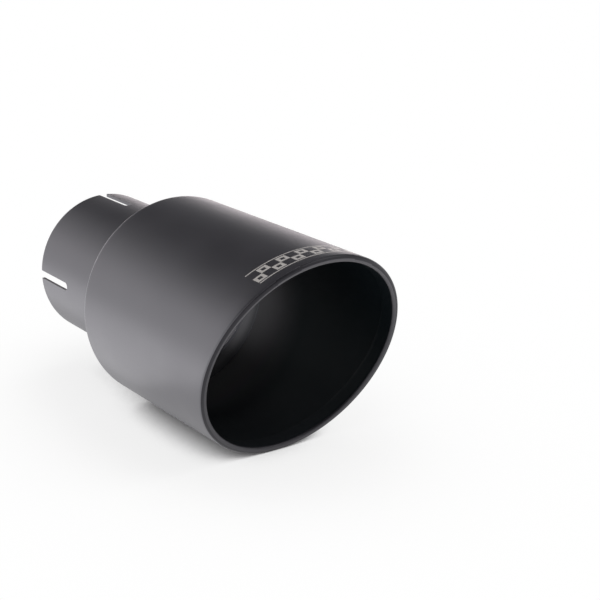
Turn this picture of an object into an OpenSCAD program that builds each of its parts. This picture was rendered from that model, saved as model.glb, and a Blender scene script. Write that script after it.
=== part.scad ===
// Slash-cut exhaust tip with a slotted slip-on inlet pipe.
// The axis runs along +X towards the mouth, the long side of the slash is up (+Z),
// and the origin is the centre of the inlet pipe's open end.

/* [Sleeve] */
// Outer diameter of the sleeve
sleeve_d = 100; // [90:0.5:130]
// Wall of the sleeve
sleeve_wall = 1.5; // [1:0.1:2.5]
// Length on the axis from the rear face of the cap to the mouth plane
mouth_x = 107.1; // [95:0.1:160]
// Angle of the slash cut, measured from a square cut
slash_angle = 22; // [0:0.5:30]

/* [Rim] */
// Width of the folded rim, from the outside of the sleeve to its inner edge
rim_width = 3.2; // [2.8:0.1:5]
// Depth of the fold inside the mouth
rim_fold = 9; // [6:0.5:15]
// Radius of the rim's outer edge
rim_outer_r = 1.6; // [0.8:0.1:1.7]
// Radius of the rim's inner edge
rim_inner_r = 1.1; // [0.5:0.1:1.2]

/* [Rear cap] */
// Thickness of the cap
cap_t = 2; // [1.5:0.1:3]
// Radius of the cap's outer corner
cap_corner_r = 1.2; // [0.8:0.1:6]
// Length of the cap's skirt, which meets the sleeve
cap_skirt = 7; // [6.5:0.5:15]

/* [Inlet pipe] */
// Bore of the inlet pipe
pipe_bore_d = 70.5; // [50:0.25:76]
// Wall of the inlet pipe
pipe_wall = 1.5; // [1:0.1:2.5]
// Length that stands out behind the cap
pipe_out = 72.8; // [50:0.1:110]
// Length inside the sleeve, past the rear face of the cap
pipe_in = 8; // [6:0.5:20]
// Number of clamping slots
slot_count = 4; // [2:1:8]
// Width of a slot
slot_w = 4; // [2:0.1:6]
// Length of a slot
slot_len = 28.5; // [15:0.5:40]

/* [Weld] */
// Leg of the fillet weld between pipe and cap
weld_leg = 3.2; // [2:0.1:5]
// Clearance of the pipe in the cap's hole
fit_gap = 0.1; // [0.05:0.01:0.2]

/* [Hidden] */
sleeve_r = sleeve_d / 2;
inner_r = sleeve_r - sleeve_wall;
bore_r = pipe_bore_d / 2;
pipe_r = bore_r + pipe_wall;
cap_x = pipe_out;
sleeve_x = cap_x + cap_skirt;
face_x = cap_x + mouth_x;
slash_k = tan(slash_angle);
rim_r = sleeve_r - rim_width;
rim_steps = 128;
arc_steps = 5;
// The rim's ring is rooted in the sleeve's wall by a tongue, and laps the wall's end by a short seam
fold_step = 1;
tongue = 1.5;
seam = 0.5;
root_inset = 0.3;
skin = 0.02;
root_back = rim_fold - fold_step;
skin_back = root_back - tongue;
wall_back = skin_back - seam;
// The rim's edge radii are kept inside the width of the rim at its sharpest place
land_share = 0.97;
half_sharp = (90 - slash_angle) / 2;
land = rim_width / cos(slash_angle);
long_need = rim_outer_r / tan(half_sharp) + rim_inner_r * tan(half_sharp);
short_need = rim_outer_r * tan(half_sharp) + rim_inner_r / tan(half_sharp);
ease = min(1, land_share * land / max(long_need, short_need));
edge_out = rim_outer_r * ease;
edge_in = rim_inner_r * ease;
min_fillet = 0.4;
cap_inner_r = max(cap_corner_r - sleeve_wall, min_fillet);
weld_set = weld_leg / 2;
weld_round = norm([weld_leg + weld_set, weld_set]);
slot_step = 360 / slot_count;
coat = [0.2, 0.2, 0.21];
coat_pipe = [0.26, 0.26, 0.27];
coat_weld = [0.32, 0.32, 0.33];
eps = 0.5;
$fn = 128;

// Turns a profile drawn as [radius, x] about the tip's axis
module turned() {
    rotate([0, 90, 0]) rotate_extrude() children();
}

// Everything behind a plane parallel to the mouth and set back from it along the axis
module behind_mouth(back) {
    reach = 2 * (sleeve_d + mouth_x);
    translate([face_x - back, 0, 0])
        rotate([0, slash_angle, 0])
            translate([-2 * reach, -reach, -reach]) cube(2 * reach);
}

// A rectangle whose far lower corner is rounded
module corner_block(width, height, radius) {
    difference() {
        square([width, height]);
        difference() {
            translate([width - radius, -eps]) square([radius + eps, radius + eps]);
            translate([width - radius, radius]) circle(r = radius);
        }
    }
}

// Points along an arc, from one angle to another
function arc_points(cx, cr, radius, from, to) =
    [for (i = [0 : arc_steps]) let (a = from + (to - from) * i / arc_steps)
        [cx + radius * cos(a), cr + radius * sin(a)]];

// Section of the folded rim as [x, radius] points, where the mouth plane rises by k per unit of radius
function rim_section(k) =
    let (lean = atan(k),
         half = (90 - lean) / 2,
         outer_x = face_x + k * sleeve_r,
         inner_x = face_x + k * rim_r)
    concat(
        [[outer_x - rim_fold, rim_r],
         [outer_x - rim_fold, inner_r + root_inset],
         [outer_x - root_back, inner_r + root_inset],
         [outer_x - root_back, sleeve_r - root_inset],
         [outer_x - skin_back, sleeve_r - skin]],
        arc_points(outer_x - edge_out / tan(half), sleeve_r - skin - edge_out, edge_out, 90, -lean),
        arc_points(inner_x - edge_in * tan(half), rim_r + edge_in, edge_in, -lean, -90));

// The folded rim: its section is carried around the mouth and follows the slash
module folded_rim() {
    rings = [for (i = [0 : rim_steps - 1]) let (a = 360 * i / rim_steps)
        [for (p = rim_section(slash_k * sin(a))) [p[0], p[1] * cos(a), p[1] * sin(a)]]];
    m = len(rings[0]);
    quads = [for (i = [0 : rim_steps - 1]) for (j = [0 : m - 1])
        let (n = (i + 1) % rim_steps, q = (j + 1) % m)
        [i * m + j, i * m + q, n * m + q, n * m + j]];
    triangles = [for (f = quads) for (t = [[f[0], f[1], f[2]], [f[0], f[2], f[3]]]) t];
    polyhedron(points = [for (ring = rings) for (p = ring) p], faces = triangles);
}

module sleeve_tube() {
    intersection() {
        translate([sleeve_x, 0, 0]) rotate([0, 90, 0]) difference() {
            cylinder(r = sleeve_r, h = mouth_x + sleeve_r);
            translate([0, 0, -eps]) cylinder(r = inner_r, h = mouth_x + sleeve_r + 2 * eps);
        }
        behind_mouth(wall_back);
    }
}

// The slash-cut tube with its edge folded in on itself
module outer_sleeve() {
    color(coat) union() {
        sleeve_tube();
        folded_rim();
    }
}

// Pressed ring that closes the sleeve's rear end, with a rounded corner and a skirt
module rear_cap() {
    hole_r = pipe_r + fit_gap;
    color(coat) turned() difference() {
        translate([hole_r, cap_x]) corner_block(sleeve_r - hole_r, cap_skirt, cap_corner_r);
        translate([hole_r - eps, cap_x + cap_t])
            corner_block(inner_r - hole_r + eps, cap_skirt, cap_inner_r);
    }
}

// One clamping slot, open at the pipe's free end and round at its inner end
module clamp_slot() {
    translate([-eps, -slot_w / 2, bore_r / 2]) cube([slot_len - slot_w / 2 + eps, slot_w, pipe_r]);
    translate([slot_len - slot_w / 2, 0, bore_r / 2]) cylinder(d = slot_w, h = pipe_r);
}

// Slip-on pipe with clamping slots in its free end
module inlet_pipe() {
    color(coat_pipe) difference() {
        rotate([0, 90, 0]) cylinder(r = pipe_r, h = pipe_out + pipe_in);
        translate([-eps, 0, 0]) rotate([0, 90, 0]) cylinder(r = bore_r, h = pipe_out + pipe_in + 2 * eps);
        for (i = [0 : slot_count - 1]) rotate([i * slot_step, 0, 0]) clamp_slot();
    }
}

// Fillet weld around the pipe, on the cap's rear face
module weld_bead() {
    color(coat_weld) turned() intersection() {
        translate([pipe_r, cap_x - weld_leg]) square(weld_leg);
        translate([pipe_r - weld_set, cap_x + weld_set]) circle(r = weld_round);
    }
}

outer_sleeve();
rear_cap();
inlet_pipe();
weld_bead();
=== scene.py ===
"""Looks of the slash-cut exhaust tip: satin black coating on its sleeve, rear cap, inlet pipe and weld.

All lengths are in metres, in the part's own frame. The tip's axis runs along +X towards the mouth, the long
side of the slash is up (+Z), and the origin is the centre of the inlet pipe's open end.
"""

import logging
import math
from abc import ABC, abstractmethod
from dataclasses import dataclass, field
from enum import Enum, IntEnum
from typing import ClassVar, NamedTuple

import bmesh
import bpy
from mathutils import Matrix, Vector


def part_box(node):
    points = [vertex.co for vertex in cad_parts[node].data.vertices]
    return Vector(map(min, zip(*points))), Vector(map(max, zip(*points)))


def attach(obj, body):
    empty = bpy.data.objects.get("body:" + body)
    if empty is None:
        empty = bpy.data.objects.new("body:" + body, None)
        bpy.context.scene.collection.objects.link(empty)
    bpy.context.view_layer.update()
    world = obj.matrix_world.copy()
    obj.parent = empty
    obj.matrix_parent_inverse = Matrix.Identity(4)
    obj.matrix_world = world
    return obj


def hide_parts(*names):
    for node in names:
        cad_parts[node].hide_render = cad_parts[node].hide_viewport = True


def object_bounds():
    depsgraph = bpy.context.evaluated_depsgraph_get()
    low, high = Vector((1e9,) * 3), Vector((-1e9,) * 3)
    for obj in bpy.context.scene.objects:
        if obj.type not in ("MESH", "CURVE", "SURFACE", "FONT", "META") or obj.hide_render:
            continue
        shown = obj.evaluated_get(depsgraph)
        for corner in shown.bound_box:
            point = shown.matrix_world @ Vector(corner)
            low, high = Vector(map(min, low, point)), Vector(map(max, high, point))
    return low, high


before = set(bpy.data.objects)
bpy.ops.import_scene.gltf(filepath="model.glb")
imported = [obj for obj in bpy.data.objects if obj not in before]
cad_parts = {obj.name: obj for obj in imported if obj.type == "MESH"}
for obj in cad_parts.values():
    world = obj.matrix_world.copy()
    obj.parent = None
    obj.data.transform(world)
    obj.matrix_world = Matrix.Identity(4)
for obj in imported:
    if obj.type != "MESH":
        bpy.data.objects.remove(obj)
CAD_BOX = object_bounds()

log = logging.getLogger("exhaust_tip")

Colour = tuple[float, float, float]
Place = tuple[float, float, float]
Span = tuple[float, float]
Socket = bpy.types.NodeSocket
Value = float | Colour | Socket
Grid = list[list[bmesh.types.BMVert]]

BODY = "root"
WHITE: Colour = (1.0, 1.0, 1.0)
# Nearly all values of a noise texture lie in this span
NOISE_SPAN: Span = (0.25, 0.75)
# A wave texture turns by this many radians in each metre at a scale of 1
WAVE_RATE = 20.0
# Columns of the mesh round the sleeve and round the cap
COLUMNS = 480
# Edges that bend by more than this are shaded as sharp ones
SHARP_ANGLE = math.radians(32)
# Vertices nearer to each other than this are joined
JOIN_DISTANCE = 0.000001
# How far the floor lies under the tip
FLOOR_GAP = 0.00002


class Slot(Enum):
    """The record's material slots."""

    SLEEVE = "sleeve_coating"
    PIPE = "pipe_coating"
    WELD = "weld_coating"


class Side(Enum):
    """The place of a piece's faces, whose value is the number of the finish that they take.

    Faces of the third kind are etched on the sleeve, and on the cap they carry a painted highlight along its
    rear corner. The rim's roll and lip take coats with painted shade and painted light.
    """

    OUTER = 0
    INNER = 1
    ETCHED_OR_HIGHLIGHT = 2
    ROLL = 3
    LIP = 4


class MixSocket(IntEnum):
    """A Mix node's sockets for colours, by number, because its sockets of other kinds share their names."""

    SHARE = 0
    FIRST = 6
    SECOND = 7
    RESULT = 2


class SectionPoint(NamedTuple):
    """A point of a section: its place along the axis, its radius, and the side of the face after it."""

    x: float
    radius: float
    side: Side = Side.OUTER


Section = list[SectionPoint]


class NodeGraph:
    """A node tree that is wired one node at a time."""

    def __init__(self, tree: bpy.types.NodeTree) -> None:
        """Starts on the tree of a material or a world, and deletes the nodes that it has."""
        self.tree = tree
        self.tree.nodes.clear()

    def add(
        self, kind: str, inputs: dict[str | int, Value] | None = None, **settings: object
    ) -> bpy.types.Node:
        """Adds a node and sets or links its inputs.

        Args:
            kind: The node's type name in Blender, without its ShaderNode prefix.
            inputs: A value, a colour or another node's socket for each named or numbered input.
            **settings: Properties of the node itself.

        Returns:
            The new node.
        """
        node = self.tree.nodes.new("ShaderNode" + kind)
        for name, value in settings.items():
            setattr(node, name, value)
        for name, value in (inputs or {}).items():
            socket = node.inputs[name]
            if isinstance(value, Socket):
                self.tree.links.new(value, socket)
            elif isinstance(value, tuple) and socket.type == "RGBA":
                socket.default_value = (*value, 1.0)
            else:
                socket.default_value = value
        return node

    def noise(self, place: Value, size: float, detail: float, roughness: float = 0.55) -> Socket:
        """Reads a noise, from 0 to 1, with grains of a size in metres and a number of finer layers."""
        inputs = {"Vector": place, "Scale": 1.0 / size, "Detail": detail, "Roughness": roughness}
        return self.add("TexNoise", inputs).outputs["Fac"]

    def remap(self, value: Value, span: Span, ends: Span = (0.0, 1.0)) -> Socket:
        """Turns a span of a value into the span between two ends, with a smooth step."""
        inputs = dict(enumerate((value, *span, *ends)))
        return self.add("MapRange", inputs, interpolation_type="SMOOTHSTEP").outputs["Result"]

    def mix(self, share: Value, first: Value, second: Value) -> Socket:
        """Mixes two colours by the share of the second one."""
        inputs = {MixSocket.SHARE: share, MixSocket.FIRST: first, MixSocket.SECOND: second}
        return self.add("Mix", inputs, data_type="RGBA").outputs[MixSocket.RESULT]

    def reckon(self, operation: str, first: Value, second: Value) -> Socket:
        """Reckons with two numbers, by the name that Blender has for the operation."""
        return self.add("Math", {0: first, 1: second}, operation=operation).outputs["Value"]

    def shown_rays(self) -> Socket:
        """Finds the rays that see the backdrop: those of the camera, of gloss and of clear materials.

        Returns:
            1 for such a ray, and 0 for one that only brings light.
        """
        paths = self.add("LightPath").outputs
        seen = self.reckon("MAXIMUM", paths["Is Camera Ray"], paths["Is Glossy Ray"])
        return self.reckon("MAXIMUM", seen, paths["Is Transmission Ray"])


@dataclass(frozen=True)
class Finish(ABC):
    """A surface finish that can be made into a material of its name."""

    name: str

    @abstractmethod
    def wire(self, graph: NodeGraph) -> Socket:
        """Wires the finish on the empty tree of its material, and gives the shader's output."""

    def material(self) -> bpy.types.Material:
        """Makes the finish's material.

        Returns:
            The material, or the one made before under the same name.
        """
        known = bpy.data.materials.get(self.name)
        if known is not None:
            return known
        made = bpy.data.materials.new(self.name)
        made.use_nodes = True
        graph = NodeGraph(made.node_tree)
        shader = self.wire(graph)
        graph.add("OutputMaterial", {"Surface": shader})
        return made


@dataclass(frozen=True)
class SatinCoat(Finish):
    """Satin ceramic coating on steel: nearly black, softly glossy, with the faint grain of its pigment.

    Attributes:
        colour: The coating's colour.
        roughness: How dull the gloss is.
        gloss: The specular level.
        ior: The coating's index of refraction.
        gloss_tint: Faint tint of its gloss.
        cloud_size: Size of the wide patches in which the spray varies.
        cloud_span: Span of their noise over which the colour turns from deep to bright.
        cloud_shades: Factors of the colour in a deep and in a bright patch.
        haze: What the patches add to the roughness.
        peel_size: Size of the wide, shallow waves that a sprayed coat dries in.
        peel: Their height.
        grain_size: Size of the pigment's grains.
        grain: Their height.
        speck_span: Span of the grains' noise over which a bright speck appears.
        speck_shade: Factor of the colour in a speck.
        speck_share: How much of a speck shows.
        mottle: What the grains add to the roughness.
    """

    colour: Colour = (0.0235, 0.0225, 0.0285)
    roughness: float = 0.4
    gloss: float = 1.0
    ior: float = 1.78
    gloss_tint: Colour = (0.95, 0.93, 1.0)
    cloud_size: float = 0.028
    cloud_span: Span = (0.3, 0.7)
    cloud_shades: Span = (0.9, 1.12)
    haze: Span = (-0.02, 0.025)
    peel_size: float = 0.0022
    peel: float = 0.000004
    grain_size: float = 0.00042
    grain: float = 0.0000022
    speck_span: Span = (0.35, 0.8)
    speck_shade: float = 2.2
    speck_share: float = 0.16
    mottle: Span = (-0.02, 0.03)

    def shaded(self, factor: float) -> Colour:
        """Gives the coating's colour, darker or lighter by a factor."""
        return tuple(factor * channel for channel in self.colour)

    def wire(self, graph: NodeGraph) -> Socket:
        """Wires the coating.

        Args:
            graph: The empty tree of the material.

        Returns:
            The coating's shader.
        """
        place = graph.add("TexCoord").outputs["Object"]
        clouds = graph.noise(place, self.cloud_size, detail=3.0)
        waves = graph.noise(place, self.peel_size, detail=1.0)
        grains = graph.noise(place, self.grain_size, detail=2.0)
        deep, bright = map(self.shaded, self.cloud_shades)
        body = graph.mix(graph.remap(clouds, self.cloud_span), deep, bright)
        specks = graph.remap(grains, self.speck_span, (0.0, self.speck_share))
        colour = self.tone(graph, place, graph.mix(specks, body, self.shaded(self.speck_shade)))
        smooth, dull = (self.roughness + change for change in self.haze)
        hazy = graph.remap(clouds, NOISE_SPAN, (smooth, dull))
        rough = graph.reckon("ADD", hazy, graph.remap(grains, NOISE_SPAN, self.mottle))
        wide = graph.add("Bump", {"Height": waves, "Distance": self.peel}).outputs["Normal"]
        grainy = {"Height": grains, "Distance": self.grain, "Normal": wide}
        fine = graph.add("Bump", grainy).outputs["Normal"]
        coat = {
            "Base Color": colour,
            "Roughness": rough,
            "Normal": fine,
            "IOR": self.ior,
            "Specular IOR Level": self.gloss,
            "Specular Tint": self.gloss_tint,
        }
        return graph.add("BsdfPrincipled", coat).outputs["BSDF"]

    def tone(self, graph: NodeGraph, place: Value, colour: Value) -> Value:
        """Leaves the colour with its specks as it is, the same at every place of the tip."""
        return colour


@dataclass(frozen=True)
class LitAndShadedLining(SatinCoat):
    """The matt coating inside, painted dark and blue as the shade in the hollow.

    It has a painted glow by the cap, painted shade at the cap's edge, and painted sky light along the
    bottom.

    Attributes:
        painted_glow_colour: Painted glow on the wall by the cap, for light from the floor that reaches it
            through the mouth.
        face_colour: Painted glow on the cap's face, less bright than on the wall.
        edge_colour: Painted shade at the edge of the face, in its corner with the wall.
        painted_sky_colour: Painted sky light along the bottom, near the mouth, where light through the mouth
            falls.
        corner_reach: Where along the axis the cap's face ends and the wall starts.
        edge_reach: Between which radii the face darkens towards its edge, as painted shade.
        glow_reach: Where along the axis the painted glow gives way to the coating's own colour.
        painted_sky_start: Where along the axis the painted sky light begins.
        painted_sky_height: Between which heights it fades out.
    """

    # Colour and gloss tint are dark and blue: painted shade for the hollow inside
    colour: Colour = (0.0028, 0.0048, 0.0064)
    roughness: float = 0.5
    gloss: float = 0.2
    ior: float = 1.5
    gloss_tint: Colour = (0.75, 0.93, 1.0)
    # Painted glow by the cap, with painted shade at the edge of the cap's face
    painted_glow_colour: Colour = (0.15, 0.146, 0.154)
    face_colour: Colour = (0.084, 0.082, 0.087)
    edge_colour: Colour = (0.038, 0.037, 0.04)
    # Painted sky light along the bottom near the mouth
    painted_sky_colour: Colour = (0.014, 0.0165, 0.019)
    corner_reach: Span = (0.0748, 0.0756)
    edge_reach: Span = (0.0435, 0.0485)
    glow_reach: Span = (0.076, 0.115)
    painted_sky_start: Span = (0.1, 0.13)
    painted_sky_height: Span = (-0.047, -0.03)

    def tone(self, graph: NodeGraph, place: Value, colour: Value) -> Value:
        """Paints light and shade on the coating: a glow towards the cap, shade at the face's edge, and sky
        light along the bottom.

        Args:
            graph: The tree of the material.
            place: Coordinates in the tip's frame.
            colour: The coating's own colour with its specks.

        Returns:
            The colour at each place.
        """
        axes = graph.add("SeparateXYZ", {"Vector": place}).outputs
        across = graph.add("CombineXYZ", {"Y": axes["Y"], "Z": axes["Z"]}).outputs["Vector"]
        radius = graph.add("VectorMath", {0: across}, operation="LENGTH").outputs["Value"]
        # Painted glow on the cap's face and on the wall by it, with painted shade at the face's edge
        face = graph.mix(graph.remap(radius, self.edge_reach), self.face_colour, self.edge_colour)
        painted_glow = graph.mix(graph.remap(axes["X"], self.corner_reach), face, self.painted_glow_colour)
        # Painted sky light along the bottom near the mouth, lighter than the coating's own colour
        near_mouth = graph.remap(axes["X"], self.painted_sky_start)
        low = graph.remap(axes["Z"], self.painted_sky_height, (1.0, 0.0))
        with_painted_sky = graph.mix(graph.reckon("MULTIPLY", near_mouth, low), colour, self.painted_sky_colour)
        return graph.mix(graph.remap(axes["X"], self.glow_reach), painted_glow, with_painted_sky)


@dataclass(frozen=True)
class LitAndShadedLip(SatinCoat):
    """The coating on the rim's flat: darker than the sleeve's as painted shade, and lighter towards the long
    side as painted light.

    Attributes:
        painted_light_colour: Colour of the painted light towards the long side.
        painted_light_height: Between which heights the painted light sets in.
    """

    # Darker than the sleeve's coat: painted shade on the rim
    colour: Colour = (0.016, 0.0155, 0.019)
    roughness: float = 0.42
    gloss: float = 0.37
    # Lighter colour towards the top: painted light on the rim's flat
    painted_light_colour: Colour = (0.062, 0.06, 0.066)
    painted_light_height: Span = (-0.005, 0.035)

    def tone(self, graph: NodeGraph, place: Value, colour: Value) -> Value:
        """Paints light on the coating's colour towards the top of the rim, by the height of each place."""
        height = graph.add("SeparateXYZ", {"Vector": place}).outputs["Z"]
        return graph.mix(graph.remap(height, self.painted_light_height), colour, self.painted_light_colour)


@dataclass(frozen=True)
class EtchedSteel(Finish):
    """Bare steel where a laser has burnt the coating away, with the fine hatching of its passes.

    Attributes:
        colour: The steel's colour.
        burnt_colour: Colour where a little of the coating stays.
        metallic: How much of the surface is bare metal.
        patch_size: Size of the patches that stay burnt.
        patch_span: Span of their noise over which the burnt colour comes in.
        patch_share: How much of it shows.
        rough_span: Span of their noise over which the steel gets duller.
        roughness: How dull it is, at its smoothest and at its dullest.
        hatch_pitch: Distance between the laser's passes.
        hatch_wander: How far a pass strays from a straight line.
        hatch_share: How much burnt colour the passes leave.
        hatch_depth: Depth of a pass.
        hatch_strength: How much of that depth shows.
    """

    colour: Colour = (0.66, 0.63, 0.61)
    burnt_colour: Colour = (0.42, 0.39, 0.37)
    metallic: float = 0.3
    patch_size: float = 0.0016
    patch_span: Span = (0.35, 0.75)
    patch_share: float = 0.55
    rough_span: Span = (0.2, 0.8)
    roughness: Span = (0.42, 0.58)
    hatch_pitch: float = 0.00044
    hatch_wander: float = 0.4
    hatch_share: float = 0.25
    hatch_depth: float = 0.000003
    hatch_strength: float = 0.6

    def wire(self, graph: NodeGraph) -> Socket:
        """Wires the etched steel.

        Args:
            graph: The empty tree of the material.

        Returns:
            The steel's shader.
        """
        place = graph.add("TexCoord").outputs["Object"]
        patches = graph.noise(place, self.patch_size, detail=3.0)
        hatch_scale = math.tau / self.hatch_pitch / WAVE_RATE
        hatching = {"Vector": place, "Scale": hatch_scale, "Distortion": self.hatch_wander}
        passes = graph.add("TexWave", hatching).outputs["Fac"]
        burnt = graph.remap(patches, self.patch_span, (0.0, self.patch_share))
        colour = graph.mix(burnt, self.colour, self.burnt_colour)
        hatched = graph.mix(graph.reckon("MULTIPLY", passes, self.hatch_share), colour, self.burnt_colour)
        rough = graph.remap(patches, self.rough_span, self.roughness)
        furrows = {"Height": passes, "Distance": self.hatch_depth, "Strength": self.hatch_strength}
        normal = graph.add("Bump", furrows).outputs["Normal"]
        steel = {"Base Color": hatched, "Roughness": rough, "Metallic": self.metallic, "Normal": normal}
        return graph.add("BsdfPrincipled", steel).outputs["BSDF"]


def arc(
    centre: tuple[float, float], radius: float, start: float, end: float, steps: int, side: Side = Side.OUTER
) -> Section:
    """Makes an arc of a section.

    Args:
        centre: The arc's centre, as a place along the axis and a radius.
        radius: The arc's own radius.
        start: Angle that it starts at, in radians from the axis.
        end: Angle that it ends at.
        steps: How many chords it has.
        side: The side that its faces are on.

    Returns:
        The arc's points.
    """
    x, out = centre
    turns = [start + (end - start) * i / steps for i in range(steps + 1)]
    return [SectionPoint(x + radius * math.cos(t), out + radius * math.sin(t), side) for t in turns]


def straight(start: SectionPoint, end: SectionPoint, steps: int) -> Section:
    """Makes a straight run of a section, without its two ends.

    Args:
        start: The point before the run.
        end: The point after it.
        steps: How many equal parts the way is cut into.

    Returns:
        The points between the two ends.
    """
    along, out = end.x - start.x, end.radius - start.radius
    shares = [i / steps for i in range(1, steps)]
    return [SectionPoint(start.x + along * s, start.radius + out * s, start.side) for s in shares]


def on_side(points: Section, side: Side) -> Section:
    """Gives the same points of a section, with the faces after them on another side."""
    return [point._replace(side=side) for point in points]


def in_scene(name: str, data: bpy.types.ID) -> bpy.types.Object:
    """Makes an object and links it to the scene.

    Args:
        name: Its name.
        data: Its mesh, its light or its camera.

    Returns:
        The new object.
    """
    made = bpy.data.objects.new(name, data)
    bpy.context.scene.collection.objects.link(made)
    return made


def finished_mesh(name: str, maker: bmesh.types.BMesh) -> bpy.types.Object:
    """Turns a closed bmesh into an object with smooth faces, sharp edges and normals that point outwards.

    Args:
        name: The object's name.
        maker: The closed mesh, which is freed.

    Returns:
        The object, in the scene.
    """
    bmesh.ops.recalc_face_normals(maker, faces=maker.faces)
    if maker.calc_volume(signed=True) < 0:
        bmesh.ops.reverse_faces(maker, faces=maker.faces)
    mesh = bpy.data.meshes.new(name)
    maker.to_mesh(mesh)
    maker.free()
    mesh.shade_smooth()
    mesh.set_sharp_from_angle(angle=SHARP_ANGLE)
    return in_scene(name, mesh)


@dataclass(frozen=True)
class TipSizes:
    """The tip's sizes: what the frame's boxes give, and the driving sizes that they don't.

    Attributes:
        sleeve_radius: Outer radius of the sleeve.
        joint_x: Where the cap's skirt meets the sleeve.
        cap_x: The cap's rear face.
        pipe_radius: Outer radius of the inlet pipe.
        pipe_end_x: The end of the inlet pipe inside the sleeve.
        sleeve_wall: Wall of the sleeve.
        pipe_wall: Wall of the inlet pipe.
        mouth_length: Length on the axis from the cap's rear face to the mouth plane.
        slash: Tangent of the slash angle.
    """

    sleeve_radius: float
    joint_x: float
    cap_x: float
    pipe_radius: float
    pipe_end_x: float
    sleeve_wall: float = 0.0015
    pipe_wall: float = 0.0015
    mouth_length: float = 0.1071
    slash: float = math.tan(math.radians(22))

    @classmethod
    def from_frame(cls) -> "TipSizes":
        """Reads the sizes from the boxes of the CAD nodes.

        Returns:
            The tip's sizes.
        """
        low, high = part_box("rear_cap")
        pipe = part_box("inlet_pipe")[1]
        return cls(sleeve_radius=high.y, joint_x=high.x, cap_x=low.x, pipe_radius=pipe.y, pipe_end_x=pipe.x)

    @property
    def face_x(self) -> float:
        """Where the mouth plane crosses the axis."""
        return self.cap_x + self.mouth_length

    @property
    def inner_radius(self) -> float:
        """Inner radius of the sleeve."""
        return self.sleeve_radius - self.sleeve_wall

    @property
    def bore_radius(self) -> float:
        """Bore radius of the inlet pipe."""
        return self.pipe_radius - self.pipe_wall


@dataclass
class Piece(ABC):
    """A piece of the tip that stands for one CAD node.

    Attributes:
        sizes: The tip's sizes.
        finishes: The finishes of its sides, in the order of their numbers.
        name: The piece's name.
        cad_node: The node that it stands for.
        slot: The record's material slot that its node belongs to.
    """

    sizes: TipSizes
    finishes: tuple[Finish, ...]
    name: ClassVar[str]
    cad_node: ClassVar[str]
    slot: ClassVar[Slot]

    @abstractmethod
    def build(self) -> bpy.types.Object:
        """Builds the piece's mesh and gives its object."""

    def dress(self, made: bpy.types.Object) -> None:
        """Gives the piece's object its materials."""
        for finish in self.finishes:
            made.data.materials.append(finish.material())

    def make(self) -> bpy.types.Object:
        """Builds and dresses the piece, and sets it in the frame.

        Returns:
            The finished piece.
        """
        made = self.build()
        self.dress(made)
        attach(made, BODY)
        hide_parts(self.cad_node)
        return made


class RingPiece(Piece):
    """A piece that is a closed ring: sections, set round the tip's axis in even steps and joined."""

    @property
    def columns(self) -> int:
        """How many sections there are."""
        return COLUMNS

    @abstractmethod
    def section_at(self, angle: float) -> Section:
        """Gives the closed section at an angle, which has as many points at every angle."""

    def etched(self, column: int, row: int) -> bool:
        """Says whether the face in a column and a row is etched. As a rule, none is."""
        return False

    def build(self) -> bpy.types.Object:
        """Builds the ring.

        Returns:
            The ring's object.
        """
        maker = bmesh.new()
        rings = []
        sides = []
        for column in range(self.columns):
            angle = math.tau * column / self.columns
            section = self.section_at(angle)
            turned = [(p.x, p.radius * math.cos(angle), p.radius * math.sin(angle)) for p in section]
            rings.append([maker.verts.new(place) for place in turned])
            sides.append([point.side for point in section])
        for column, ring in enumerate(rings):
            after = rings[(column + 1) % self.columns]
            for row, side in enumerate(sides[column]):
                up = (row + 1) % len(ring)
                face = maker.faces.new((ring[row], ring[up], after[up], after[row]))
                face.material_index = (Side.ETCHED_OR_HIGHLIGHT if self.etched(column, row) else side).value
        return finished_mesh(self.name, maker)


@dataclass
class EtchedBand:
    """A plain laser-etched band on top of the sleeve, along the lip: open chequers between two thin rules.

    It is laid out in cells as wide as one column of the sleeve's mesh.

    Attributes:
        square: Cells along one side of a chequer.
        squares_across: Chequers from one end of the band to the other.
        squares_deep: Rows of chequers.
        stroke: Cells across the line that draws a chequer.
        gap: Cells between a rule and the chequers.
        top_column: The sleeve's column at the top of the tip.
    """

    square: int = 7
    squares_across: int = 13
    squares_deep: int = 2
    stroke: int = 2
    gap: int = 1
    top_column: int = COLUMNS // 4

    @property
    def depth(self) -> int:
        """Cells from the first rule to past the last one."""
        return self.squares_deep * self.square + 2 * (self.gap + 1)

    @property
    def width(self) -> int:
        """Cells from one end of the band to the other."""
        return self.squares_across * self.square

    def marks(self, column: int, cell_row: int) -> bool:
        """Says whether a cell is etched.

        Args:
            column: The sleeve's column.
            cell_row: The cell's row, counted from the one nearest the lip.

        Returns:
            True where the coating is etched away.
        """
        across = column - self.top_column + self.width // 2
        if not (0 <= across < self.width and 0 <= cell_row < self.depth):
            return False
        if cell_row in (0, self.depth - 1):
            return True
        deep = cell_row - 1 - self.gap
        if not 0 <= deep < self.squares_deep * self.square:
            return False
        filled = (across // self.square + deep // self.square) % 2 == 0
        hollow = range(self.stroke, self.square - self.stroke)
        return filled and not (across % self.square in hollow and deep % self.square in hollow)


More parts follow.
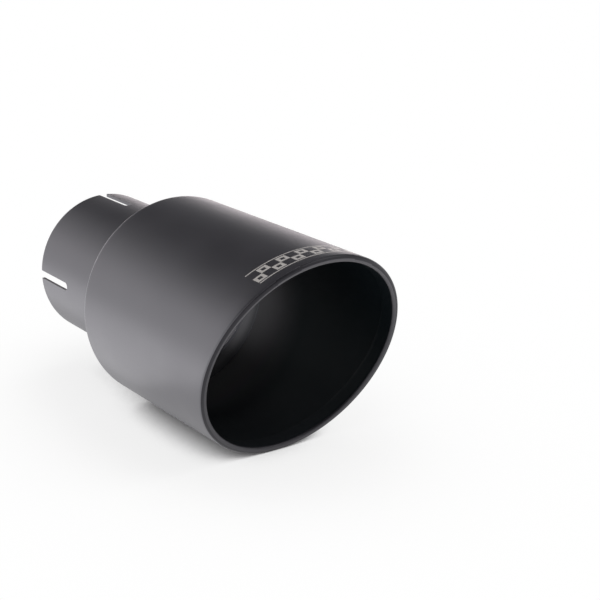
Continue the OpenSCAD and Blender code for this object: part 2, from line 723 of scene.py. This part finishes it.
@dataclass
class SleeveShell(RingPiece):
    """The slash-cut sleeve, whose edge is folded in on itself to a thick, rounded rim.

    Attributes:
        band: The etched band.
        band_start: How far behind the lip the band starts.
        rim_width: Width of the folded rim.
        rim_fold: Depth of the fold inside the mouth.
        rim_outer_r: Radius of the rim's outer edge.
        rim_inner_r: Radius of the rim's inner edge.
        raw_edge_r: Rounding of the fold's hidden edge.
        painted_flat_heights: Heights, as sines, past each of which the flat with its painted light spreads
            by one more chord.
        rear_rows: Rows of faces from the cap to the band, and on the wall inside.
        outer_steps: Chords of the rim's outer edge.
        skin_steps: The first chords of it, which have the skin's coat.
        inner_steps: Chords of the rim's inner edge.
        fold_rows: Rows of faces on the fold inside.
        raw_edge_steps: Chords of the fold's hidden edge.
    """

    name = "slash_cut_sleeve"
    cad_node = "outer_sleeve"
    slot = Slot.SLEEVE
    band: EtchedBand = field(default_factory=EtchedBand)
    band_start: float = 0.0063
    rim_width: float = 0.0032
    rim_fold: float = 0.009
    rim_outer_r: float = 0.0016
    rim_inner_r: float = 0.0011
    raw_edge_r: float = 0.00012
    painted_flat_heights: Span = (0.87, 0.96)
    rear_rows: int = 12
    outer_steps: int = 10
    skin_steps: int = 4
    inner_steps: int = 8
    fold_rows: int = 4
    raw_edge_steps: int = 4

    @property
    def cell(self) -> float:
        """Width of one column of the sleeve's mesh."""
        return math.tau * self.sizes.sleeve_radius / COLUMNS

    @property
    def rim_radius(self) -> float:
        """Radius of the rim's inner side."""
        return self.sizes.sleeve_radius - self.rim_width

    def rim_edges(self, angle: float) -> tuple[Section, Section]:
        """Gives the rim's two rounded edges, which meet the slanted flat between them without a kink.

        Args:
            angle: Angle round the axis, from +Y towards +Z.

        Returns:
            The outer edge and the inner edge.
        """
        sizes = self.sizes
        rise = sizes.slash * math.sin(angle)
        lean = math.atan(rise)
        half = (math.pi / 2 - lean) / 2
        outer_r, inner_r = self.rim_outer_r, self.rim_inner_r
        outer_x = sizes.face_x + rise * sizes.sleeve_radius - outer_r / math.tan(half)
        inner_x = sizes.face_x + rise * self.rim_radius - inner_r * math.tan(half)
        outer_centre = (outer_x, sizes.sleeve_radius - outer_r)
        inner_centre = (inner_x, self.rim_radius + inner_r)
        outer = arc(outer_centre, outer_r, math.pi / 2, -lean, self.outer_steps, Side.ROLL)
        inner = arc(inner_centre, inner_r, -lean, -math.pi / 2, self.inner_steps, Side.LIP)
        # Near the top the flat with its painted light spreads over more chords, and the roll with its
        # painted shade shifts back by as much
        spread = sum(math.sin(angle) > height for height in self.painted_flat_heights)
        skin_end, flat_start = self.skin_steps - spread, self.outer_steps - spread
        skin = on_side(outer[:skin_end], Side.OUTER)
        flat = on_side(outer[flat_start:], Side.LIP)
        rounded = [*inner[:-1], *on_side(inner[-1:], Side.INNER)]
        return [*skin, *outer[skin_end:flat_start], *flat], rounded

    def section_at(self, angle: float) -> Section:
        """Gives the sleeve's section at an angle: out along the skin, round the rim, and back inside.

        Args:
            angle: Angle round the axis, from +Y towards +Z.

        Returns:
            The closed section.
        """
        sizes = self.sizes
        outside, inside = sizes.sleeve_radius, sizes.inner_radius
        lip_x = sizes.face_x + sizes.slash * math.sin(angle) * outside
        fold_x = lip_x - self.rim_fold
        band_x = [lip_x - self.band_start - self.cell * i for i in range(self.band.depth, -1, -1)]
        band_rows = [SectionPoint(x, outside) for x in band_x]
        rear = SectionPoint(sizes.joint_x, outside)
        outer_edge, inner_edge = self.rim_edges(angle)
        raw = self.raw_edge_r
        raw_centre = (fold_x + raw, self.rim_radius + raw)
        fold_edge = arc(raw_centre, raw, -math.pi / 2, -math.pi, self.raw_edge_steps, Side.INNER)
        root = SectionPoint(fold_x, inside, Side.INNER)
        rear_inside = SectionPoint(sizes.joint_x, inside, Side.INNER)
        return [
            rear,
            *straight(rear, band_rows[0], self.rear_rows),
            *band_rows,
            *outer_edge,
            *inner_edge,
            *straight(inner_edge[-1], fold_edge[0], self.fold_rows),
            *fold_edge,
            root,
            *straight(root, rear_inside, self.rear_rows),
            rear_inside,
        ]

    def etched(self, column: int, row: int) -> bool:
        """Says whether the face in a column and in a row along the section is etched."""
        last_row = self.rear_rows + self.band.depth - 1
        return self.band.marks(column, last_row - row)


@dataclass
class RearCapShell(RingPiece):
    """The pressed ring that closes the sleeve's rear end, with a rounded corner and a skirt.

    Attributes:
        thickness: Thickness of the cap.
        corner_r: Radius of the outer corner.
        inner_corner_r: Radius of the corner inside.
        hole_gap: Clearance round the inlet pipe.
        hole_edge_r: Rounding of the hole's rear edge.
        hole_edge_steps: Chords of that rounding.
        corner_steps: Chords of the outer corner.
        inner_corner_steps: Chords of the corner inside.
        face_rows: Rows of faces on the rear face.
        inner_face_rows: Rows of faces on its inner side.
        skirt_rows: Rows of faces on each side of the skirt.
    """

    name = "pressed_rear_cap"
    cad_node = "rear_cap"
    slot = Slot.SLEEVE
    thickness: float = 0.002
    corner_r: float = 0.0012
    inner_corner_r: float = 0.0004
    hole_gap: float = 0.0001
    hole_edge_r: float = 0.0003
    hole_edge_steps: int = 3
    corner_steps: int = 12
    inner_corner_steps: int = 6
    face_rows: int = 8
    inner_face_rows: int = 6
    skirt_rows: int = 3

    def section_at(self, angle: float) -> Section:
        """Gives the cap's section, which is the same at every angle.

        Args:
            angle: Angle round the axis.

        Returns:
            The closed section, from the hole's rear edge out and back inside.
        """
        cap_x, joint_x = self.sizes.cap_x, self.sizes.joint_x
        outside, inside = self.sizes.sleeve_radius, self.sizes.inner_radius
        hole = self.sizes.pipe_radius + self.hole_gap
        front_x = cap_x + self.thickness
        small, wide, inner = self.hole_edge_r, self.corner_r, self.inner_corner_r
        hole_centre = (cap_x + small, hole + small)
        hole_edge = arc(hole_centre, small, -math.pi / 2, -math.pi, self.hole_edge_steps)
        corner_centre = (cap_x + wide, outside - wide)
        # The outer corner takes the third finish, a bright coat that paints the highlight along the cap's
        # rear edge
        highlight_arc = arc(corner_centre, wide, math.pi, math.pi / 2, self.corner_steps, Side.ETCHED_OR_HIGHLIGHT)
        corner = [*highlight_arc[:-1], *on_side(highlight_arc[-1:], Side.OUTER)]
        skirt_end = SectionPoint(joint_x, outside)
        skirt_inside = SectionPoint(joint_x, inside, Side.INNER)
        inner_centre = (front_x + inner, inside - inner)
        inner_corner = arc(inner_centre, inner, math.pi / 2, math.pi, self.inner_corner_steps, Side.INNER)
        hole_front = SectionPoint(front_x, hole, Side.INNER)
        return [
            *hole_edge,
            *straight(hole_edge[-1], corner[0], self.face_rows),
            *corner,
            *straight(corner[-1], skirt_end, self.skirt_rows),
            skirt_end,
            skirt_inside,
            *straight(skirt_inside, inner_corner[0], self.skirt_rows),
            *inner_corner,
            *straight(inner_corner[-1], hole_front, self.inner_face_rows),
            hole_front,
        ]


@dataclass
class RippledWeld(RingPiece):
    """The fillet weld round the inlet pipe, laid down in overlapping ripples.

    Attributes:
        leg: Leg of the fillet.
        ripples: Ripples round the pipe.
        ripple_depth: Depth of the furrow between two ripples.
        sweep: How far each ripple bows ahead in the middle, in radians of its own wave.
        drifts: Slow drifts of the welder's hand: how far each moves the ripples, in radians of their
            wave, how often it comes and goes round the pipe, and where in its own wave it starts.
        ripple_columns: Columns of the mesh in each ripple.
        steps: Chords across the weld's face.
    """

    name = "rippled_weld"
    cad_node = "weld_bead"
    slot = Slot.WELD
    leg: float = 0.0032
    ripples: int = 127
    ripple_depth: float = 0.00032
    sweep: float = 2.4
    drifts: tuple[tuple[float, int, float], ...] = ((0.5, 7, 1.3), (0.35, 17, 0.0))
    ripple_columns: int = 12
    steps: int = 14

    @property
    def columns(self) -> int:
        """How many sections there are."""
        return self.ripples * self.ripple_columns

    def section_at(self, angle: float) -> Section:
        """Gives the weld's section at an angle.

        Args:
            angle: Angle round the axis.

        Returns:
            The rippled face, and the corner that lies against the pipe and the cap.
        """
        sizes = self.sizes
        inset = self.leg / 2
        centre_x, centre_r = sizes.cap_x + inset, sizes.pipe_radius - inset
        radius = math.hypot(self.leg + inset, inset)
        first = math.atan2(inset, -self.leg - inset)
        last = math.atan2(self.leg + inset, -inset)
        unsteady = sum(reach * math.sin(turns * angle + start) for reach, turns, start in self.drifts)
        face = []
        for i in range(self.steps + 1):
            share = i / self.steps
            turn = first + (last - first) * share
            bow = self.sweep * (1 - (2 * share - 1) ** 2)
            wave = abs(math.cos((self.ripples * angle + unsteady + bow) / 2))
            depth = self.ripple_depth * (1 - wave) * math.sin(math.pi * share)
            out = radius - depth
            face.append(SectionPoint(centre_x + out * math.cos(turn), centre_r + out * math.sin(turn)))
        return [*face, SectionPoint(sizes.cap_x, sizes.pipe_radius)]


@dataclass
class SlottedInlet(Piece):
    """The slip-on inlet pipe, with clamping slots milled into its free end.

    Attributes:
        slots: Number of slots.
        slot_width: Width of a slot.
        slot_length: Length of a slot, whose inner end is round.
        edge_r: Rounding of the cut edges.
        edge_steps: Chords of that rounding.
        edge_angle: Bend from which an edge counts as cut.
        fan: Angle beside a slot over which the mesh's columns spread out.
        fan_columns: Columns in that angle.
        half_columns: Columns from a slot to halfway to the next one, the fan's among them.
        straight_rows: Rows of faces along the straight part of a slot.
        arc_rows: Rows of faces along its round end.
        plain_rows: Rows of faces along the rest of the pipe.
        row_growth: Power by which those grow away from the slots.
    """

    name = "slotted_inlet"
    cad_node = "inlet_pipe"
    slot = Slot.PIPE
    slots: int = 4
    slot_width: float = 0.004
    slot_length: float = 0.0285
    edge_r: float = 0.0002
    edge_steps: int = 2
    edge_angle: float = math.radians(50)
    fan: float = math.radians(7.5)
    fan_columns: int = 10
    half_columns: int = 60
    straight_rows: int = 9
    arc_rows: int = 9
    plain_rows: int = 14
    row_growth: float = 1.5

    @property
    def round_x(self) -> float:
        """Where the round end of a slot starts."""
        return self.slot_length - self.slot_width / 2

    def rows(self) -> list[float]:
        """Places the mesh's rows along the pipe, dense round the slots' inner ends.

        Returns:
            The rows' places along the axis.
        """
        half = self.slot_width / 2
        before = [self.round_x * i / self.straight_rows for i in range(self.straight_rows)]
        quarter = [math.pi / 2 * i / self.arc_rows for i in range(self.arc_rows + 1)]
        turn = [self.round_x + half * math.sin(angle) for angle in quarter]
        left = self.sizes.pipe_end_x - self.slot_length
        shares = [(i / self.plain_rows) ** self.row_growth for i in range(1, self.plain_rows + 1)]
        return [*before, *turn, *(self.slot_length + left * share for share in shares)]

    def half_gap(self, x: float) -> float:
        """Gives half of a slot's width at a place along the pipe, which is 0 past the slot's end."""
        half, past = self.slot_width / 2, max(0.0, x - self.round_x)
        return math.sqrt(max(0.0, half * half - past * past))

    def sector_angles(self, x: float, radius: float) -> list[float]:
        """Gives the angles of the mesh's columns from one slot's side to the next slot's.

        Args:
            x: The place along the pipe.
            radius: The radius of the skin.

        Returns:
            The angles, measured from the first slot's centre.
        """
        edge = math.asin(self.half_gap(x) / radius)
        fan = [edge + (self.fan - edge) * i / self.fan_columns for i in range(self.fan_columns)]
        middle = math.pi / self.slots
        wide = self.half_columns - self.fan_columns
        rest = [self.fan + (middle - self.fan) * i / wide for i in range(wide + 1)]
        first_half = [*fan, *rest]
        return [*first_half, *(2 * middle - angle for angle in reversed(first_half[:-1]))]

    def build(self) -> bpy.types.Object:
        """Builds the pipe as two skins, joined at its ends and at the sides of the slots.

        Returns:
            The pipe's object.
        """
        maker = bmesh.new()
        stations = self.rows()
        for sector in range(self.slots):
            grids = []
            start = math.tau * sector / self.slots
            for radius in (self.sizes.pipe_radius, self.sizes.bore_radius):
                grid = []
                for x in stations:
                    turns = [start + angle for angle in self.sector_angles(x, radius)]
                    places = [(x, radius * math.cos(turn), radius * math.sin(turn)) for turn in turns]
                    grid.append([maker.verts.new(place) for place in places])
                grids.append(grid)
            self.join_sector(maker, grids[0], grids[1])
        bmesh.ops.remove_doubles(maker, verts=maker.verts, dist=JOIN_DISTANCE)
        made = finished_mesh(self.name, maker)
        self.soften(made)
        return made

    def join_sector(self, maker: bmesh.types.BMesh, outer: Grid, inner: Grid) -> None:
        """Makes the faces of one sector of the pipe: its skins, its ends, and the sides of the slots.

        Args:
            maker: The mesh under construction.
            outer: The outer skin's vertices, row by row.
            inner: The inner skin's.
        """
        last_row, last_column = len(outer) - 1, len(outer[0]) - 1
        for row in range(last_row):
            for column in range(last_column):
                for side, grid in ((Side.OUTER, outer), (Side.INNER, inner)):
                    low, high = grid[row], grid[row + 1]
                    face = maker.faces.new((low[column], low[column + 1], high[column + 1], high[column]))
                    face.material_index = side.value
        for column in range(last_column):
            for row in (0, last_row):
                skin, bore = outer[row], inner[row]
                maker.faces.new((skin[column], skin[column + 1], bore[column + 1], bore[column]))
        for row in range(self.straight_rows + self.arc_rows):
            for column in (0, last_column):
                around = ((outer, row), (outer, row + 1), (inner, row + 1), (inner, row))
                maker.faces.new([grid[step][column] for grid, step in around])

    def soften(self, made: bpy.types.Object) -> None:
        """Rounds the pipe's cut edges a little, as deburring leaves them.

        Args:
            made: The pipe's object.
        """
        bevel = made.modifiers.new("deburred_edges", "BEVEL")
        bevel.width = self.edge_r
        bevel.segments = self.edge_steps
        bevel.limit_method = "ANGLE"
        bevel.angle_limit = self.edge_angle
        bevel.harden_normals = True


@dataclass(frozen=True)
class FloorPaper(Finish):
    """The pale studio floor: plain white under an open sky, while its shadow stays close to the tip.

    Attributes:
        colour: The floor's colour.
        roughness: How matt it is.
        tone_size: Size of the patches in which it is paler.
        tone_share: How much paler they are.
        sky_reach: How far away the tip still hides some sky.
        sky_samples: How often each point looks for the sky.
        near_sky: Shares of open sky between which most of the plain white comes in.
        near_white: How much of it that is.
        open_sky: Shares between which the rest follows.
    """

    name: str = "floor_paper"
    colour: Colour = (0.93, 0.925, 0.92)
    roughness: float = 0.3
    tone_size: float = 0.4
    tone_share: float = 0.04
    sky_reach: float = 0.3
    sky_samples: int = 16
    near_sky: Span = (0.15, 0.38)
    near_white: float = 0.79
    open_sky: Span = (0.6, 1.0)

    def wire(self, graph: NodeGraph) -> Socket:
        """Wires the floor.

        Args:
            graph: The empty tree of the material.

        Returns:
            The floor's shader.
        """
        place = graph.add("TexCoord").outputs["Object"]
        tone = graph.noise(place, self.tone_size, detail=2.0)
        colour = graph.mix(graph.reckon("MULTIPLY", tone, self.tone_share), self.colour, WHITE)
        paper = graph.add("BsdfDiffuse", {"Color": colour, "Roughness": self.roughness})
        white = graph.add("Emission", {"Color": WHITE, "Strength": 1.0})
        open_air = graph.add("AmbientOcclusion", {"Distance": self.sky_reach}, samples=self.sky_samples)
        sky = open_air.outputs["AO"]
        near = graph.remap(sky, self.near_sky, (0.0, self.near_white))
        rest = graph.remap(sky, self.open_sky, (0.0, 1.0 - self.near_white))
        share = graph.reckon("MULTIPLY", graph.reckon("ADD", near, rest), graph.shown_rays())
        return graph.add("MixShader", {0: share, 1: paper.outputs[0], 2: white.outputs[0]}).outputs[0]


@dataclass
class Lamp:
    """A soft panel lamp that looks at the tip.

    Attributes:
        name: The lamp's name.
        place: Where it stands.
        target: What it looks at.
        panel: Width and height of its panel.
        radiance: How bright the panel is.
        colour: Its colour.
    """

    name: str
    place: Place
    target: Place
    panel: tuple[float, float]
    radiance: float
    colour: Colour = WHITE

    @property
    def aim(self) -> Vector:
        """The way from the lamp to what it looks at."""
        return Vector(self.target) - Vector(self.place)

    def light(self) -> bpy.types.Light:
        """Makes the lamp's light.

        Returns:
            A panel of an even brightness.
        """
        made = bpy.data.lights.new(self.name, "AREA")
        made.shape = "RECTANGLE"
        made.size, made.size_y = self.panel
        made.energy = self.radiance * math.pi * self.panel[0] * self.panel[1]
        return made

    def hang(self) -> None:
        """Hangs the lamp."""
        light = self.light()
        light.color = self.colour
        made = in_scene(self.name, light)
        made.location = self.place
        made.rotation_euler = self.aim.to_track_quat("-Z", "Y").to_euler()
        made.visible_camera = False


@dataclass
class NarrowLamp(Lamp):
    """A lamp with a narrow, soft-edged beam, whose panel is its round lens.

    Its radiance is how bright a white surface at its target gets from it.

    Attributes:
        beam: The whole angle of its beam.
    """

    beam: float = math.radians(4.2)

    def light(self) -> bpy.types.Light:
        """Makes the lamp's light.

        Returns:
            A spot with a narrow beam.
        """
        made = bpy.data.lights.new(self.name, "SPOT")
        made.energy = self.radiance * 4 * math.pi**2 * self.aim.length_squared
        made.spot_size = self.beam
        made.spot_blend = 1.0
        made.shadow_soft_size = self.panel[0] / 2
        return made


@dataclass
class Studio:
    """The plain pale studio: the floor, the surroundings and the lamps.

    Attributes:
        floor_z: Height of the floor.
        lamps: The lamps.
        floor_side: Side of the floor.
        ambient: Strength of the even light from all round.
        horizon: Brightness that gloss shows at the horizon.
        wall: Brightness that it shows further up.
        wall_heights: Between which heights, as sines, the horizon darkens to the wall.
    """

    floor_z: float
    lamps: tuple[Lamp, ...]
    floor_side: float = 14.0
    ambient: float = 0.62
    horizon: float = 1.0
    wall: float = 0.05
    wall_heights: Span = (0.05, 0.4)

    def lay_floor(self) -> None:
        """Lays the floor."""
        maker = bmesh.new()
        bmesh.ops.create_grid(maker, x_segments=1, y_segments=1, size=self.floor_side / 2)
        mesh = bpy.data.meshes.new("studio_floor")
        maker.to_mesh(mesh)
        maker.free()
        mesh.materials.append(FloorPaper().material())
        made = in_scene("studio_floor", mesh)
        made.location.z = self.floor_z

    def surround(self) -> None:
        """Sets the world: white to the camera, a dim wall over a white horizon to gloss, and even light."""
        world = bpy.data.worlds.new("studio_world")
        world.use_nodes = True
        bpy.context.scene.world = world
        graph = NodeGraph(world.node_tree)
        paths = graph.add("LightPath").outputs
        direction = graph.add("TexCoord").outputs["Generated"]
        height = graph.add("SeparateXYZ", {"Vector": direction}).outputs["Z"]
        wall = graph.remap(height, self.wall_heights, (self.horizon, self.wall))
        shown = graph.reckon("MAXIMUM", wall, paths["Is Camera Ray"])
        light = graph.add("Background", {"Color": WHITE, "Strength": self.ambient})
        backdrop = graph.add("Background", {"Color": WHITE, "Strength": shown})
        both = graph.add("MixShader", {0: graph.shown_rays(), 1: light.outputs[0], 2: backdrop.outputs[0]})
        graph.add("OutputWorld", {"Surface": both.outputs[0]})

    def build(self) -> None:
        """Builds the studio."""
        self.lay_floor()
        self.surround()
        for lamp in self.lamps:
            lamp.hang()
        bpy.context.scene.view_settings.view_transform = "Standard"


@dataclass
class PhotoCamera:
    """The camera, at the photograph's viewing angle.

    Attributes:
        place: Where it stands.
        turn: Direction from the tip back to the camera, round the vertical from +X.
        height: How far that direction rises over the horizon.
        lens: Focal length, in millimetres.
        sensor: Width of the sensor, in millimetres.
        clip: Nearest and furthest distance that it sees.
    """

    place: Place
    turn: float
    height: float
    lens: float
    sensor: float = 36.0
    clip: Span = (0.05, 50.0)

    def build(self) -> None:
        """Sets up the camera."""
        data = bpy.data.cameras.new("photo_camera")
        data.lens = self.lens
        data.sensor_width = self.sensor
        data.clip_start, data.clip_end = self.clip
        made = in_scene("photo_camera", data)
        level = math.cos(self.height)
        back = Vector((math.cos(self.turn) * level, math.sin(self.turn) * level, math.sin(self.height)))
        made.location = self.place
        made.rotation_euler = (-back).to_track_quat("-Z", "Y").to_euler()
        bpy.context.scene.camera = made


def dressed_pieces(sizes: TipSizes) -> tuple[Piece, ...]:
    """Puts the tip's pieces together with their finishes.

    Args:
        sizes: The tip's sizes.

    Returns:
        The pieces, still to be made.
    """
    sleeve_coat = SatinCoat("sleeve_coat")
    # The coating inside, with painted shade, a painted glow by the cap and painted sky light along the
    # bottom
    lining = LitAndShadedLining("lining_coat")
    steel = EtchedSteel("etched_steel")
    # The rim's flat: painted shade lower down and painted light towards the long side
    lip_coat = LitAndShadedLip("lip_coat")
    # The rim's roll: the lip's darker colour with less gloss, as painted shade
    roll_coat = SatinCoat("roll_coat", colour=lip_coat.colour, roughness=lip_coat.roughness, gloss=0.2)
    # A bright copy of the coat: a painted highlight for the cap's rear corner
    painted_highlight_coat = SatinCoat("painted_highlight_coat", colour=(0.15, 0.147, 0.158), roughness=0.38)
    pipe_coat = SatinCoat("pipe_coat", roughness=0.42)
    weld_coat = SatinCoat("weld_coat", roughness=0.46, grain=0.000004)
    return (
        SleeveShell(sizes, (sleeve_coat, lining, steel, roll_coat, lip_coat)),
        RearCapShell(sizes, (sleeve_coat, lining, painted_highlight_coat)),
        SlottedInlet(sizes, (pipe_coat, pipe_coat)),
        RippledWeld(sizes, (weld_coat,)),
    )


def studio_lamps() -> tuple[Lamp, ...]:
    """Lists the studio's lamps.

    Returns:
        A high lamp, panels whose gloss draws the coating's soft streaks, and a lamp for the mouth.
    """
    middle, above = (0.1, 0.0, 0.0), (-0.1, -0.17, 0.5)
    return (
        Lamp("high_lamp", place=(0.75, 0.75, 1.3), target=middle, panel=(1.3, 1.3), radiance=1.7),
        Lamp("side_panel", place=(-0.5, -0.4, 0.26), target=middle, panel=(1.1, 0.3), radiance=0.56),
        Lamp("floor_panel", place=(-0.1, -0.17, -0.049), target=above, panel=(0.37, 0.25), radiance=0.64),
        Lamp(
            "back_panel",
            place=(-0.85, 0.35, 0.05),
            target=(0.1, 0.0, 0.02),
            panel=(1.3, 0.2),
            radiance=2.1,
            colour=(1.0, 0.87, 0.89),
        ),
        NarrowLamp(
            "mouth_lamp",
            place=(0.803, -0.143, -0.01),
            target=(0.075, 0.036, -0.009),
            panel=(0.01, 0.01),
            radiance=0.7,
        ),
    )


def main() -> None:
    """Builds the tip piece by piece, then the studio and the camera."""
    logging.basicConfig(level=logging.INFO, format="%(name)s: %(message)s")
    for piece in dressed_pieces(TipSizes.from_frame()):
        made = piece.make()
        log.info("%s stands for %s, with %d faces", piece.name, piece.cad_node, len(made.data.polygons))
    studio = Studio(floor_z=CAD_BOX[0].z - FLOOR_GAP, lamps=studio_lamps())
    studio.build()
    log.info("the studio has %d lamps", len(studio.lamps))
    turn, height = math.radians(-35.081), math.radians(17.709)
    PhotoCamera(place=(0.6547, -0.33505, 0.21183), turn=turn, height=height, lens=86.45).build()


if __name__ == "__main__":
    main()
